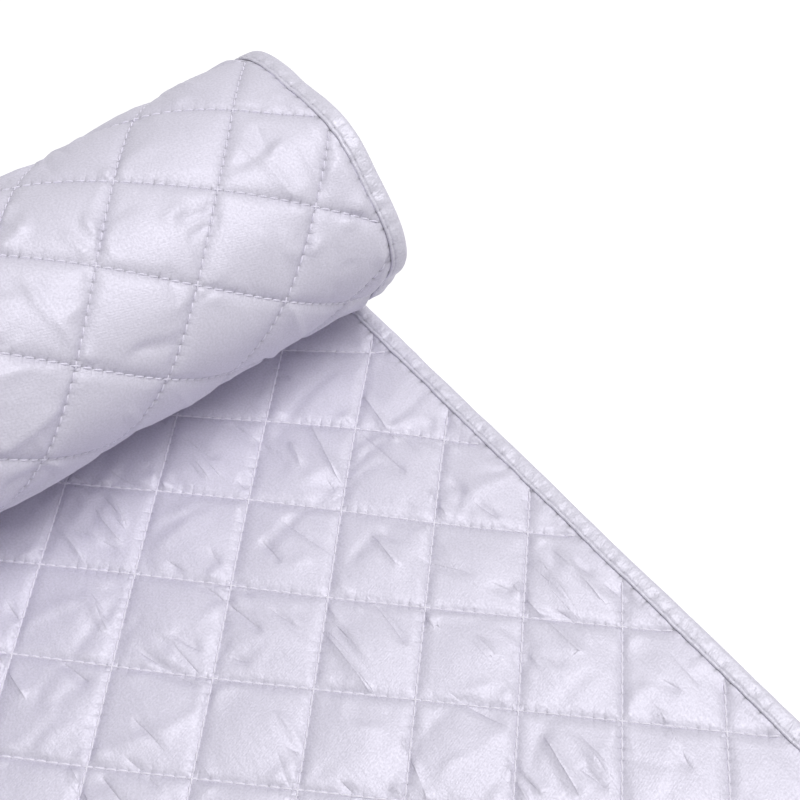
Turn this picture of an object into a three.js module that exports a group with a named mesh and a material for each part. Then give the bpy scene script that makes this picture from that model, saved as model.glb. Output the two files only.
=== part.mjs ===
// A quilted ironing pad, lying flat with its far end rolled up on itself.
// Two satin cloths hold a wadding between them, sewn through in diamonds and bound with tape on all four edges.
// Millimetres, +Z up. The pad's length runs along X with the roll at -X, and its width runs along Y.
import * as THREE from "three";

// The pad and its roll
const padWidth = 480;
const flatLength = 377; // from the flat end to the line where the sheet starts to rise
const rollReach = 64.5; // from the roll's middle to its near side, and to its far side
const rollHeight = 120;
const turnClearance = 1.35; // free space between the outer turn and the second one
const tuckedLength = 70; // what lies inside the outer turn, measured along the second turn
const tuckStart = THREE.MathUtils.degToRad(245); // turned this far round the roll, the sheet starts to draw in
const tuckEnd = THREE.MathUtils.degToRad(345);
const hiddenTurn = THREE.MathUtils.degToRad(315); // from here on the outside of the roll is out of sight

// The layers
const clothThickness = 0.35;
const layerGap = 0.3;
const seamWadding = 0.5; // the wadding as the seams press it
const faceCrown = 3.2; // how far a diamond stands above its seams on the flat part
const backCrown = 3.2; // the same on the outside of the roll
const pressedShare = 0.3; // what is left of that where the roll stands on it
const hiddenRise = 1.2; // how far the wadding stands above the seams where no diamond is formed

// The quilting
const quiltCell = 42; // side of one square, seen as a diamond
const firstRow = 14.85; // flat end to the first row of crossings
const firstColumn = 15.3; // tape to the nearest crossing, on the rows that start there
const quiltTakeUp = 16; // length that the quilting draws in between the flat part and the top of the roll
const quiltTurn = 0.075; // sideways drift of the crossings on the roll, as a slope
const threadWidth = 0.7;
const threadHeight = 0.4;

// The binding tape
const tapeWidth = 9; // as it shows on each face
const tapeThickness = 0.4;
const tapeFold = 1; // size of the eased corners at the fold
const tapeStitchInset = 1.6; // the topstitching, in from the tape's inner edge
const tapeRamp = 6; // the strip beside a tape where the sheet rises to it
const restClear = 0.05; // the lowest thread above what the pad lies on

const rowMargin = 5; // no row lies nearer to a tape than this
const columnMargin = 1.5; // no crossing lies nearer to the rise to a tape than this

// What follows from them
const rowPitch = quiltCell * Math.SQRT1_2;
const seamThickness = 2 * (clothThickness + layerGap) + seamWadding;
const tapeLow = restClear + threadHeight + layerGap;
const edgeLift = tapeLow + tapeThickness + layerGap;
const tapeHigh = edgeLift + seamThickness + layerGap + tapeThickness;
const fold = padWidth / 2;
const tapeEdge = fold - tapeWidth;
const rawEdge = fold - tapeFold - layerGap;
const shoulder = tapeEdge - tapeRamp; // where the sheet has come down from the tape's height
const turnStep = tapeHigh + layerGap + threadHeight + turnClearance; // from the outer turn to the second one
const rollMiddle = rollHeight / 2;
const fullTurn = 2 * Math.PI;

// The sheet's own line round the roll: an ellipse that stands on the ground, drawn in where it tucks under itself.
// The turn is counted from the ground, up the far side, over the top and down the near side.
function rollPoint(turn) {
  const outward = new THREE.Vector2(-Math.sin(turn) / rollReach, -Math.cos(turn) / rollMiddle).normalize();
  const drawIn = turnStep * THREE.MathUtils.smoothstep(turn, tuckStart, tuckEnd);
  return {
    x: -rollReach * Math.sin(turn) - outward.x * drawIn,
    z: rollMiddle * (1 - Math.cos(turn)) - outward.y * drawIn,
    up: outward.negate(),
  };
}

// Lengths along that line, summed over short steps
const lineSteps = 2000;
const lineTurns = fullTurn + (2 * tuckedLength) / rollMiddle;
const linePoints = [];
for (let i = 0, length = 0; i <= lineSteps; i += 1) {
  const point = rollPoint((lineTurns * i) / lineSteps);
  const last = linePoints[i - 1];
  if (last) length += Math.hypot(point.x - last.x, point.z - last.z);
  linePoints.push({ ...point, length });
}
const lengthAt = (turn) => linePoints[Math.round(lineSteps * (turn / lineTurns))].length;
const sheetLength = flatLength + lengthAt(fullTurn) + tuckedLength;

// Rows of the quilting are counted from the flat end.
// After the last flat one the sheet bends, and half rows are added.
const lastFlatRow = Math.floor((flatLength - firstRow) / rowPitch);
const topRow = lastFlatRow + Math.floor(lengthAt(Math.PI) / rowPitch);
const lastFaceRow = lastFlatRow - 1; // the last row of diamonds that shows on the flat part
const firstBackRow = lastFlatRow + 1;
const hiddenLength = flatLength + lengthAt(hiddenTurn) + quiltTakeUp;
const lastBackRow = Math.floor((hiddenLength - firstRow) / rowPitch); // the last that shows on the roll

// A place on the sheet's line, by its distance from the flat end, with the direction that is up from the sheet
function sheetPoint(distance) {
  if (distance <= flatLength) return { x: flatLength - distance, z: 0, up: new THREE.Vector2(0, 1) };
  return linePoints.find((point) => point.length >= distance - flatLength);
}

// Distance of a row of the quilting from the flat end
function rowDistance(row) {
  const drawn = THREE.MathUtils.clamp((row - lastFlatRow) / (topRow - lastFlatRow), 0, 1);
  return firstRow + row * rowPitch - quiltTakeUp * drawn;
}

// Stations along the sheet, each a straight line across it. Between two of them every piece runs straight.
const stations = [];
function addStation(distance, row) {
  stations.push({ distance, row, ...sheetPoint(distance) });
}
addStation(0, null);
addStation(fold - rawEdge, null);
addStation(tapeWidth, null);
for (let row = 0; rowDistance(row) < sheetLength - tapeWidth - rowMargin; row += row < lastFlatRow ? 1 : 0.5) {
  addStation(rowDistance(row), row);
}
addStation(sheetLength - tapeWidth, null);
addStation(sheetLength - (fold - rawEdge), null);
addStation(sheetLength, null);

// A point of the pad: distance from the flat end, place across, and height above the sheet's lower face.
// Between two stations the point is blended from both, so pieces at different heights never meet.
function padPoint(distance, across, height) {
  const next = Math.max(1, stations.findIndex((station) => station.distance >= distance - 1e-6));
  const a = stations[next - 1];
  const b = stations[next];
  const share = (distance - a.distance) / (b.distance - a.distance);
  const x = THREE.MathUtils.lerp(a.x + a.up.x * height, b.x + b.up.x * height, share);
  const z = THREE.MathUtils.lerp(a.z + a.up.y * height, b.z + b.up.y * height, share);
  return new THREE.Vector3(x, across, z);
}

// Place across the pad of the quilting's columns, where a whole column is half a diamond wide
function columnAcross(row, column) {
  const drift = quiltTurn * rowPitch * Math.max(0, row - lastFaceRow);
  return tapeEdge - firstColumn - column * rowPitch + drift;
}

const isInside = (across) => Math.abs(across) < shoulder - columnMargin;

// The columns whose place keeps clear of both tapes
function columnsOf(row, offset) {
  const columns = [];
  const reach = Math.ceil(padWidth / rowPitch) + 2;
  for (let column = reach; column >= -2; column -= 1) {
    const across = columnAcross(row, column + offset);
    if (isInside(across)) columns.push({ column: column + offset, across });
  }
  return columns;
}

const isCrossing = (row, column) => Math.abs(row + column) % 2 === 0;

// One face of a layer, as rows of points across the pad. level is the face's height at the seams, and crown is what
// a diamond adds at its middle, positive or negative, as a function of the row, or null where none is formed.
function faceRows(level, crown, plainLevel) {
  return stations.slice(1, -1).map((station) => {
    const atEnd = station.distance <= tapeWidth || station.distance >= sheetLength - tapeWidth;
    const edge = { height: level + edgeLift, seam: true };
    const points = [];
    const rise = atEnd ? null : crown(station.row);
    if (rise !== null) {
      const half = station.row % 1 !== 0;
      for (const { column, across } of columnsOf(station.row, half ? 0.5 : 0)) {
        const seam = half || isCrossing(station.row, column);
        const room = Math.min(1, (2 * (shoulder - Math.abs(across))) / rowPitch);
        points.push({ across, height: level + (seam ? 0 : rise * room), seam });
      }
    }
    if (!atEnd) {
      const height = rise === null ? plainLevel : level;
      points.unshift({ across: -shoulder, height, seam: true });
      points.push({ across: shoulder, height, seam: true });
    }
    return {
      distance: station.distance,
      points: [
        { across: -rawEdge, ...edge },
        { across: -tapeEdge, ...edge },
        ...points,
        { across: tapeEdge, ...edge },
        { across: rawEdge, ...edge },
      ],
    };
  });
}

// How long an edge between two rows counts as, where one that follows a seam counts as shorter than it is
function edgeSpan(p, q) {
  if (!p || !q) return Infinity;
  const seamBonus = p.seam && q.seam ? rowPitch / 4 : 0;
  return Math.abs(p.across - q.across) - seamBonus;
}

// Triangles between two rows of points, each as [which row, index]. Of two possible edges the shorter one is taken.
function stitchRows(a, b) {
  const triangles = [];
  let i = 0;
  let j = 0;
  while (i < a.length - 1 || j < b.length - 1) {
    if (edgeSpan(a[i + 1], b[j]) < edgeSpan(a[i], b[j + 1])) {
      triangles.push([["a", i], ["a", i + 1], ["b", j]]);
      i += 1;
    } else {
      triangles.push([["a", i], ["b", j + 1], ["b", j]]);
      j += 1;
    }
  }
  return triangles;
}

function geometryOf(triangles) {
  const geometry = new THREE.BufferGeometry();
  const numbers = triangles.flat().flatMap((point) => point.toArray());
  geometry.setAttribute("position", new THREE.Float32BufferAttribute(numbers, 3));
  geometry.computeVertexNormals();
  return geometry;
}

// A layer: its upper and lower faces, and the walls round its four edges
function layer(lowerRows, upperRows) {
  const triangles = [];
  const place = (rows) => rows.map((row) => row.points.map((p) => padPoint(row.distance, p.across, p.height)));
  const lower = place(lowerRows);
  const upper = place(upperRows);
  const quad = (p, q, r, s) => triangles.push([p, q, r], [p, r, s]);
  for (const [rows, placed, isUpper] of [[upperRows, upper, true], [lowerRows, lower, false]]) {
    for (let k = 0; k + 1 < rows.length; k += 1) {
      for (const corners of stitchRows(rows[k].points, rows[k + 1].points)) {
        const triangle = corners.map(([side, index]) => placed[side === "a" ? k : k + 1][index]);
        triangles.push(isUpper ? triangle : triangle.reverse());
      }
    }
  }
  for (let k = 0; k + 1 < upper.length; k += 1) {
    quad(lower[k].at(-1), lower[k + 1].at(-1), upper[k + 1].at(-1), upper[k].at(-1));
    quad(upper[k][0], upper[k + 1][0], lower[k + 1][0], lower[k][0]);
  }
  for (let i = 0; i + 1 < upper[0].length; i += 1) {
    quad(lower[0][i], lower[0][i + 1], upper[0][i + 1], upper[0][i]);
    quad(upper.at(-1)[i], upper.at(-1)[i + 1], lower.at(-1)[i + 1], lower.at(-1)[i]);
  }
  return geometryOf(triangles);
}

// A closed outline of [across, height] points carried along the pad from one distance to another
function alongPad(outline, from, to) {
  const rings = stations
    .filter((station) => station.distance >= from - 1e-6 && station.distance <= to + 1e-6)
    .map((station) => outline.map(([across, height]) => padPoint(station.distance, across, height)));
  return sweep(outline, rings);
}

// The same for an outline of [distance, height] points carried across the pad
function acrossPad(outline, reach) {
  const ringAt = (across) => outline.map(([distance, height]) => padPoint(distance, across, height));
  return sweep(outline, [ringAt(reach), ringAt(-reach)]);
}

// Rings of points joined into a closed solid. Which way its faces point is read from the solid's own volume.
function sweep(outline, rings) {
  const count = outline.length;
  const triangles = [];
  const flat = outline.map(([u, v]) => new THREE.Vector2(u, v));
  const turn = Math.sign(THREE.ShapeUtils.area(flat));
  for (let k = 0; k + 1 < rings.length; k += 1) {
    for (let i = 0; i < count; i += 1) {
      const j = (i + 1) % count;
      triangles.push([rings[k][i], rings[k + 1][i], rings[k + 1][j]], [rings[k][i], rings[k + 1][j], rings[k][j]]);
    }
  }
  for (const corners of THREE.ShapeUtils.triangulateShape(flat, [])) {
    const capTurn = Math.sign(THREE.ShapeUtils.area(corners.map((i) => flat[i])));
    const cap = capTurn === turn ? corners : [...corners].reverse();
    triangles.push(cap.map((i) => rings[0][i]));
    triangles.push([...cap].reverse().map((i) => rings.at(-1)[i]));
  }
  const volume = triangles.reduce((sum, [p, q, r]) => sum + p.dot(q.clone().cross(r)), 0);
  return geometryOf(volume < 0 ? triangles.map((triangle) => [...triangle].reverse()) : triangles);
}

// The tape's folded section: how deep each point lies in from the fold, with its height
const tapeSection = [
  [tapeWidth, tapeLow],
  [tapeFold, tapeLow],
  [0, tapeLow + tapeFold],
  [0, tapeHigh - tapeFold],
  [tapeFold, tapeHigh],
  [tapeWidth, tapeHigh],
  [tapeWidth, tapeHigh - tapeThickness],
  [tapeFold, tapeHigh - tapeThickness],
  [tapeFold, tapeLow + tapeThickness],
  [tapeWidth, tapeLow + tapeThickness],
];

// A thread's square section round a depth in from the fold, with its lower side at a height
function threadSection(depth, height) {
  const half = threadWidth / 2;
  return [
    [depth + half, height],
    [depth - half, height],
    [depth - half, height + threadHeight],
    [depth + half, height + threadHeight],
  ];
}

// The quilting's thread on one face: a net of flat strands along the seams, with a small diamond at each crossing,
// or half of one on the first row, beyond which the sheet rises to the tape
function quiltNet(firstNetRow, lastNetRow, height) {
  const half = threadWidth * Math.SQRT1_2;
  const vertices = [];
  const faces = [];
  const known = new Map();
  const vertex = (distance, across) => {
    const key = distance.toFixed(4) + " " + across.toFixed(4);
    if (!known.has(key)) known.set(key, vertices.push([distance, across]) - 1);
    return known.get(key);
  };
  const limit = shoulder - columnMargin;
  const blend = (p, q, share) => [p[0] + (q[0] - p[0]) * share, p[1] + (q[1] - p[1]) * share];
  const shareAt = (p, q, axis, value) => (value - p[axis]) / (q[axis] - p[axis]);

  // A strand between two crossings, between its two long sides, cut off square where it nears the tape
  function strand(sideOne, sideTwo, middle) {
    const leaves = Math.max(Math.abs(sideOne[1][1]), Math.abs(sideTwo[1][1])) > limit;
    const edge = Math.sign(sideOne[1][1]) * limit;
    const ends = [sideOne, sideTwo].map(([p, q]) => (leaves ? blend(p, q, shareAt(p, q, 1, edge)) : q));
    const between = middle === null ? [] : [sideOne, sideTwo].map(([p, q]) => blend(p, q, shareAt(p, q, 0, middle)));
    const passes = between.length && ends.every((end) => (end[0] - middle) * (sideOne[0][0] - middle) < 0);
    const one = [sideOne[0], ...(passes ? [between[0]] : []), ends[0]].map((p) => vertex(...p));
    const two = [sideTwo[0], ...(passes ? [between[1]] : []), ends[1]].map((p) => vertex(...p));
    for (let i = 0; i + 1 < one.length; i += 1) faces.push([one[i], one[i + 1], two[i + 1], two[i]]);
  }

  for (let row = firstNetRow; row <= lastNetRow; row += 1) {
    const distance = rowDistance(row);
    for (const { column, across } of columnsOf(row, 0)) {
      if (!isCrossing(row, column)) continue;
      const corners = row === 0 ? [[half, 0], [0, half], [0, -half]] : [[half, 0], [0, half], [-half, 0], [0, -half]];
      faces.push(corners.map(([u, v]) => vertex(distance + u, across + v)));
      for (const [ahead, aside] of [[1, 1], [1, -1], [-1, 1], [-1, -1]]) {
        const nextRow = row + ahead;
        const nextAcross = columnAcross(nextRow, column - aside);
        const drawnAlready = ahead < 0 && isInside(nextAcross);
        if (nextRow < firstNetRow || nextRow > lastNetRow || drawnAlready) continue;
        const next = rowDistance(nextRow);
        const sideOne = [[distance + half * ahead, across], [next, nextAcross - half * aside]];
        const sideTwo = [[distance, across + half * aside], [next - half * ahead, nextAcross]];
        const middle = Math.min(row, nextRow) >= lastFlatRow ? rowDistance(row + ahead / 2) : null;
        strand(sideOne, sideTwo, middle);
      }
    }
  }

  // The flat net is given its thickness: each face twice, and a wall wherever only one face has an edge
  const low = vertices.map(([distance, across]) => padPoint(distance, across, height));
  const high = vertices.map(([distance, across]) => padPoint(distance, across, height + threadHeight));
  const triangles = [];
  const edges = new Map();
  for (const face of faces) {
    const area = face.reduce((sum, v, i) => {
      const [u1, v1] = vertices[v];
      const [u2, v2] = vertices[face[(i + 1) % face.length]];
      return sum + u1 * v2 - u2 * v1;
    }, 0);
    const ring = area < 0 ? face : [...face].reverse();
    for (let i = 1; i + 1 < ring.length; i += 1) {
      triangles.push([high[ring[0]], high[ring[i]], high[ring[i + 1]]]);
      triangles.push([low[ring[0]], low[ring[i + 1]], low[ring[i]]]);
    }
    ring.forEach((v, i) => edges.set(v + " " + ring[(i + 1) % ring.length], [v, ring[(i + 1) % ring.length]]));
  }
  for (const [p, q] of edges.values()) {
    if (edges.has(q + " " + p)) continue;
    triangles.push([low[p], low[q], high[q]], [low[p], high[q], high[p]]);
  }
  return geometryOf(triangles);
}

const faceSatin = new THREE.MeshStandardMaterial({ color: 0xd6d3df, roughness: 0.42, metalness: 0.25 });
const backSatin = new THREE.MeshStandardMaterial({ color: 0xd8d6e2, roughness: 0.4, metalness: 0.25 });
const tapeSatin = new THREE.MeshStandardMaterial({ color: 0xc9c7d4, roughness: 0.45, metalness: 0.2 });
const wadding = new THREE.MeshStandardMaterial({ color: 0xf0eee9, roughness: 0.95, metalness: 0 });
const paleThread = new THREE.MeshStandardMaterial({ color: 0xe6e4ea, roughness: 0.6, metalness: 0 });
const greyThread = new THREE.MeshStandardMaterial({ color: 0x77747f, roughness: 0.6, metalness: 0 });

const ironingPad = new THREE.Group();
ironingPad.name = "ironing_pad";

function addPiece(name, geometry, material) {
  const mesh = new THREE.Mesh(geometry, material);
  mesh.name = name;
  ironingPad.add(mesh);
}

// The crown of a row of diamonds on each face, nothing on the rows that close the pattern, and null where the cloth
// lies plain. The first row on the roll is pressed flatter, because the roll stands on it.
function faceCrownOf(row) {
  if (row > lastFaceRow + 1) return null;
  return row > lastFaceRow ? 0 : faceCrown;
}
function backCrownOf(row) {
  if (row < firstBackRow - 0.5 || row > lastBackRow + 0.5) return null;
  if (row < firstBackRow || row > lastBackRow) return 0;
  return row < firstBackRow + 1 ? -backCrown * pressedShare : -backCrown;
}

// Heights of each layer's lower and upper side at the seams
const backIn = clothThickness;
const waddingLow = backIn + layerGap;
const waddingHigh = waddingLow + seamWadding;
const faceIn = waddingHigh + layerGap;
const rows = {
  backLow: faceRows(0, backCrownOf, 0),
  backHigh: faceRows(backIn, backCrownOf, backIn),
  waddingLow: faceRows(waddingLow, backCrownOf, waddingLow),
  waddingHigh: faceRows(waddingHigh, faceCrownOf, waddingHigh + hiddenRise),
  faceLow: faceRows(faceIn, faceCrownOf, faceIn + hiddenRise),
  faceHigh: faceRows(seamThickness, faceCrownOf, seamThickness + hiddenRise),
};
addPiece("back_cloth", layer(rows.backLow, rows.backHigh), backSatin);
addPiece("wadding", layer(rows.waddingLow, rows.waddingHigh), wadding);
addPiece("face_cloth", layer(rows.faceLow, rows.faceHigh), faceSatin);

// The tapes: the long ones run the whole length, and the short ones butt against them
const shortReach = tapeEdge - layerGap;
const faceThreadHeight = tapeHigh + layerGap;
const stitchDepth = tapeWidth - tapeStitchInset;
const mirrored = (section, side) => section.map(([depth, height]) => [side * (fold - depth), height]);
const fromEnd = (section, end) => section.map(([depth, height]) => [end === 0 ? depth : end - depth, height]);
for (const [side, name] of [[1, "right_side"], [-1, "left_side"]]) {
  addPiece("binding_" + name, alongPad(mirrored(tapeSection, side), 0, sheetLength), tapeSatin);
  for (const [height, face] of [[faceThreadHeight, "face"], [restClear, "back"]]) {
    const section = mirrored(threadSection(stitchDepth, height), side);
    const line = alongPad(section, fold - rawEdge, sheetLength - (fold - rawEdge));
    addPiece("binding_stitch_" + name + "_" + face, line, greyThread);
  }
}
for (const [end, name] of [[0, "flat_end"], [sheetLength, "rolled_end"]]) {
  addPiece("binding_" + name, acrossPad(fromEnd(tapeSection, end), shortReach), tapeSatin);
  for (const [height, face] of [[faceThreadHeight, "face"], [restClear, "back"]]) {
    const line = acrossPad(fromEnd(threadSection(stitchDepth, height), end), shortReach);
    addPiece("binding_stitch_" + name + "_" + face, line, greyThread);
  }
}

// The quilting's two threads, one on each face, where the diamonds show
addPiece("quilting_thread_face", quiltNet(0, lastFaceRow, seamThickness + layerGap), paleThread);
addPiece("quilting_thread_back", quiltNet(firstBackRow, lastBackRow, -layerGap - threadHeight), paleThread);

// The origin lies under the middle of the whole, on the ground
const whole = new THREE.Box3().setFromObject(ironingPad);
ironingPad.position.x = -(whole.min.x + whole.max.x) / 2;

export default ironingPad;
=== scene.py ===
# %% [markdown]
# # A quilted ironing pad, half rolled up
# The pad is two satin cloths with wadding between them, sewn through in diamonds and bound with tape all
# round. It lies flat at one end and is rolled up on itself at the other, so one face shows on the flat
# part and the other on the outside of the roll. The CAD model gives the frame: its boxes say where each
# piece is, and every piece made here rides on the body "root" and stands for one of its plain solids.

# %% Load the frame
import math

import bpy
import numpy as np
from mathutils import Matrix, Vector


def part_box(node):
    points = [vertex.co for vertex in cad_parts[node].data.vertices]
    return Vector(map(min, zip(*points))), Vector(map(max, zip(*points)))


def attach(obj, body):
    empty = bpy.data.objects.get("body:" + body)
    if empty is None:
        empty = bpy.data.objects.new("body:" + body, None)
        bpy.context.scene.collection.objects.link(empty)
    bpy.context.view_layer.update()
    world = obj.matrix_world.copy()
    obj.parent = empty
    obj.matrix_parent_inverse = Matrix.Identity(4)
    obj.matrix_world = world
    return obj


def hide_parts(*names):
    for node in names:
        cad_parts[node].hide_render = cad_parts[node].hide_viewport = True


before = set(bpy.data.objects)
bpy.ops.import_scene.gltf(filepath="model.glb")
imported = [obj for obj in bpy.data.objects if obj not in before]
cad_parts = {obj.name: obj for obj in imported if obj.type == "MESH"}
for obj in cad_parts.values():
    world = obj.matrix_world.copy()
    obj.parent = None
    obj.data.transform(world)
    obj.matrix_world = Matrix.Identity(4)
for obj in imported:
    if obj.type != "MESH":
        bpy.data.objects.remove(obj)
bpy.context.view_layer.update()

# %% [markdown]
# ## The camera
# The picture was taken from above the flat part, looking down at the roll across one long edge. The grid
# of seams is made of equal squares, so its perspective gives the camera's place, its direction and how
# wide it sees.

# %% Camera
camera_place = Vector((0.21445, -0.01021, 0.48437))
camera_ahead = Vector((-0.46110, 0.37716, -0.80320)).normalized()
camera_up = Vector((-0.62714, 0.50185, 0.59568)).normalized()
camera_right = camera_ahead.cross(camera_up)
camera_data = bpy.data.cameras.new("camera")
camera_data.lens = 56.17
camera_data.sensor_width = 36
camera_data.clip_start, camera_data.clip_end = 0.01, 50
camera = bpy.data.objects.new("camera", camera_data)
bpy.context.scene.collection.objects.link(camera)
turned = Matrix((camera_right, camera_up, -camera_ahead)).transposed().to_4x4()
camera.matrix_world = Matrix.Translation(camera_place) @ turned
bpy.context.scene.camera = camera
print("the camera is", round(camera_place.z, 3), "m above the floor")

# %% [markdown]
# ## The sheet's own line
# Everything on the pad is placed by three numbers: how far along the sheet it is from the flat end, how
# far across, and how high above the sheet's lower face. Along the sheet the lower face is first a
# straight line on the floor and then an ellipse that stands on the floor and is drawn in where it tucks
# under itself. Worked out once as a table of lengths, that line places cloth, tape and thread alike, so
# they stay together wherever the sheet bends.

# %% Sizes, in millimetres
MM = 0.001
FLAT_LENGTH = 377.0
# Half the width and half the height of the roll's ellipse
ROLL_REACH, ROLL_MIDDLE = 64.5, 60.0
# The turns between which it is drawn in, how far, and the length that lies inside the roll
TUCK_START, TUCK_END, TURN_STEP, TUCKED_LENGTH = math.radians(245), math.radians(345), 6.0, 70.0
LINE_POINTS = 4001
# How far across the folded edge is, and how far inside it the cloths' raw edges are
FOLD, TAPE_WIDTH, RAW_EDGE = 240.0, 9.0, 1.3
TAPE_EDGE = FOLD - TAPE_WIDTH
# The tape lifts the sheet's edge, more on the flat part than on the roll, over a ramp beside it
EDGE_LIFT, ROLL_LIFT, EDGE_RAMP = 1.45, 0.2, 6.0
SEAM_THICKNESS = 1.8
FLOOR_GAP = 0.05
# The side of a diamond, and the step from one row or column of crossings to the next
CELL = 42.0
PITCH = CELL * math.sqrt(0.5)
END_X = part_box("binding_flat_end")[1][0] / MM


# %% The line round the roll
def ease(value, start, end):
    """0 before start, 1 after end, and 3 t^2 - 2 t^3 between them."""
    share = np.clip((value - start) / (end - start), 0, 1)
    return share * share * (3 - 2 * share)


turn = np.linspace(0, 2 * math.pi + 2 * TUCKED_LENGTH / ROLL_MIDDLE, LINE_POINTS)
outward = np.stack([-np.sin(turn) / ROLL_REACH, -np.cos(turn) / ROLL_MIDDLE])
outward /= np.hypot(*outward)
drawn_in = TURN_STEP * ease(turn, TUCK_START, TUCK_END)
line_x = -ROLL_REACH * np.sin(turn) - outward[0] * drawn_in
line_z = ROLL_MIDDLE * (1 - np.cos(turn)) - outward[1] * drawn_in
line_length = np.concatenate([[0], np.cumsum(np.hypot(np.diff(line_x), np.diff(line_z)))])
ONE_TURN = float(np.interp(2 * math.pi, turn, line_length))
SHEET_LENGTH = FLAT_LENGTH + ONE_TURN + TUCKED_LENGTH


def window(value, rise_start, rise_end, fall_start, fall_end):
    """0, then 1 between rise_end and fall_start, then 0 again, with eased steps."""
    return ease(value, rise_start, rise_end) * (1 - ease(value, fall_start, fall_end))


# Heights in millimetres, and the four turns in degrees at which a form starts, is full, leaves and ends
BACK_SWELL, BACK_MORE, BACK_TURNS = 2.6, 4.0, (60, 130, 148, 196)
FRONT_DRAWN, FRONT_LESS, FRONT_TURNS = 3.5, 1.5, (250, 300, 312, 352)
RIM_CORNERS = [(6.6, 60, 126, 140, 174), (-1.2, 164, 176, 178, 190), (2.2, 184, 204, 208, 226),
               (4.4, 226, 257, 260, 282), (-1.5, 272, 284, 294, 306), (1.5, 300, 314, 325, 352)]
RIM_START = 200


def swell(turned, across):
    """How far the roll stands out of its ellipse, in millimetres: fuller at the back of its top, more so
    towards the photographed edge, and drawn in at the lower front. At the rim the stiff tape bends in a
    few soft corners."""
    degrees = np.degrees(turned)
    back = (BACK_SWELL + BACK_MORE * ease(across, 80, 220)) * window(degrees, *BACK_TURNS)
    front = (FRONT_LESS * ease(across, 100, 220) - FRONT_DRAWN) * window(degrees, *FRONT_TURNS)
    corners = sum(size * window(degrees, *turns) for size, *turns in RIM_CORNERS)
    at_rim = ease(np.abs(across), RIM_START, FOLD)
    return (back + front) * (1 - at_rim) + corners * at_rim


def place(distance, across, height):
    """Points in metres: the line's point at that distance, moved by height along the line's inward
    direction."""
    bent = distance - FLAT_LENGTH
    height = height - swell(np.interp(bent, line_length, turn), across)
    x = END_X - FLAT_LENGTH - np.minimum(bent, 0) + np.interp(bent, line_length, line_x)
    z = np.interp(bent, line_length, line_z)
    up_x = np.interp(bent, line_length, -outward[0])
    up_z = np.interp(bent, line_length, -outward[1])
    return np.stack([x + up_x * height, across + 0 * x, z + up_z * height], axis=-1) * MM


def turned_at(distance):
    """The turn round the roll, in radians, at a distance along the sheet."""
    return np.interp(distance - FLAT_LENGTH, line_length, turn)


print("the sheet is", round(SHEET_LENGTH), "mm long, and one turn of the roll takes", round(ONE_TURN), "mm")

# %% [markdown]
# ## The quilting
# Rows of seam crossings are counted from the flat end and columns from the photographed edge, half a
# diamond apart. A point of the pattern is a crossing where row + column is even, and the seams are the
# lines where (row + column) / 2 or (row - column) / 2 is whole. On the roll the pattern is turned a
# little against the edge, as the photo shows, and drawn together a little where the sheet bends.

# %% Where a row and a column lie
# The first crossings' places, in millimetres from the flat end and from the tape
FIRST_ROW, FIRST_COLUMN = 13.7, 16.4
LAST_FACE_ROW, LAST_FLAT_ROW, TURNED_ROW, TOP_ROW, FRONT_ROW = 11, 12, 16, 18, 24
# Millimetres that are taken up on the way to the top and to the front, and the pattern's turn
TAKE_UP, LATE_TAKE_UP, QUILT_TURN = 12.0, 4.8, 0.075
DRAWN_ACROSS, DRAWN_COLUMNS = 0.18, 3.5
# The pull starts, is full, leaves and ends at four rows, and fades over so many columns
PULL_ROWS, PULL_COLUMNS = (6.5, 10, 11, 14), 2.2
PULL_ALONG, PULL_EVENLY, PULL_AT_EDGE, PULL_ACROSS = 4.0, 0.7, 0.8, 8.4


def quilt_place(row, column):
    """Distance and place across: both run evenly with row and column, with the roll's small turn and
    take-up. Just before the roll the pattern is pulled towards it, and towards the photographed edge by
    exp(-column / PULL_COLUMNS)."""
    on_roll = ease(row, LAST_FACE_ROW, TURNED_ROW)
    drawn = DRAWN_ACROSS * ease(column, 0, DRAWN_COLUMNS) * on_roll
    drawn = drawn - QUILT_TURN * np.maximum(0, row - LAST_FACE_ROW)
    inward = FIRST_COLUMN + (column + drawn) * PITCH
    taken_up = TAKE_UP * np.clip((row - LAST_FLAT_ROW) / (TOP_ROW - LAST_FLAT_ROW), 0, 1)
    taken_up = taken_up + LATE_TAKE_UP * np.clip((row - TOP_ROW) / (FRONT_ROW - TOP_ROW), 0, 1)
    tilt = QUILT_TURN * on_roll * (inward - FIRST_COLUMN)
    pull = window(row, *PULL_ROWS)
    near_edge = np.exp(-column / PULL_COLUMNS)
    along = FIRST_ROW + row * PITCH - taken_up + tilt
    along = along + PULL_ALONG * pull * (PULL_EVENLY + PULL_AT_EDGE * near_edge)
    return along, TAPE_EDGE - inward + PULL_ACROSS * pull * near_edge


# %% The grid that both cloths share
STEPS = 18
STEP = PITCH / STEPS
# The grid starts a few steps before the first crossings, outside the sheet, and ends outside it too
FIRST_STEPS, LAST_ROW, LAST_COLUMN = (-9, -16), 29, 17
rows = np.arange(FIRST_STEPS[0], LAST_ROW * STEPS)
columns = np.arange(FIRST_STEPS[1], LAST_COLUMN * STEPS)
row_index, column_index = np.meshgrid(rows, columns, indexing="ij")
raw_distance, raw_across = quilt_place(row_index / STEPS, column_index / STEPS)
EDGE_ACROSS = FOLD - RAW_EDGE
grid_distance = np.clip(raw_distance, RAW_EDGE, SHEET_LENGTH - RAW_EDGE)
grid_across = np.clip(raw_across, -EDGE_ACROSS, EDGE_ACROSS)
print("the quilting's grid has", rows.size, "by", columns.size, "points,", round(STEP, 2), "mm apart")

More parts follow.
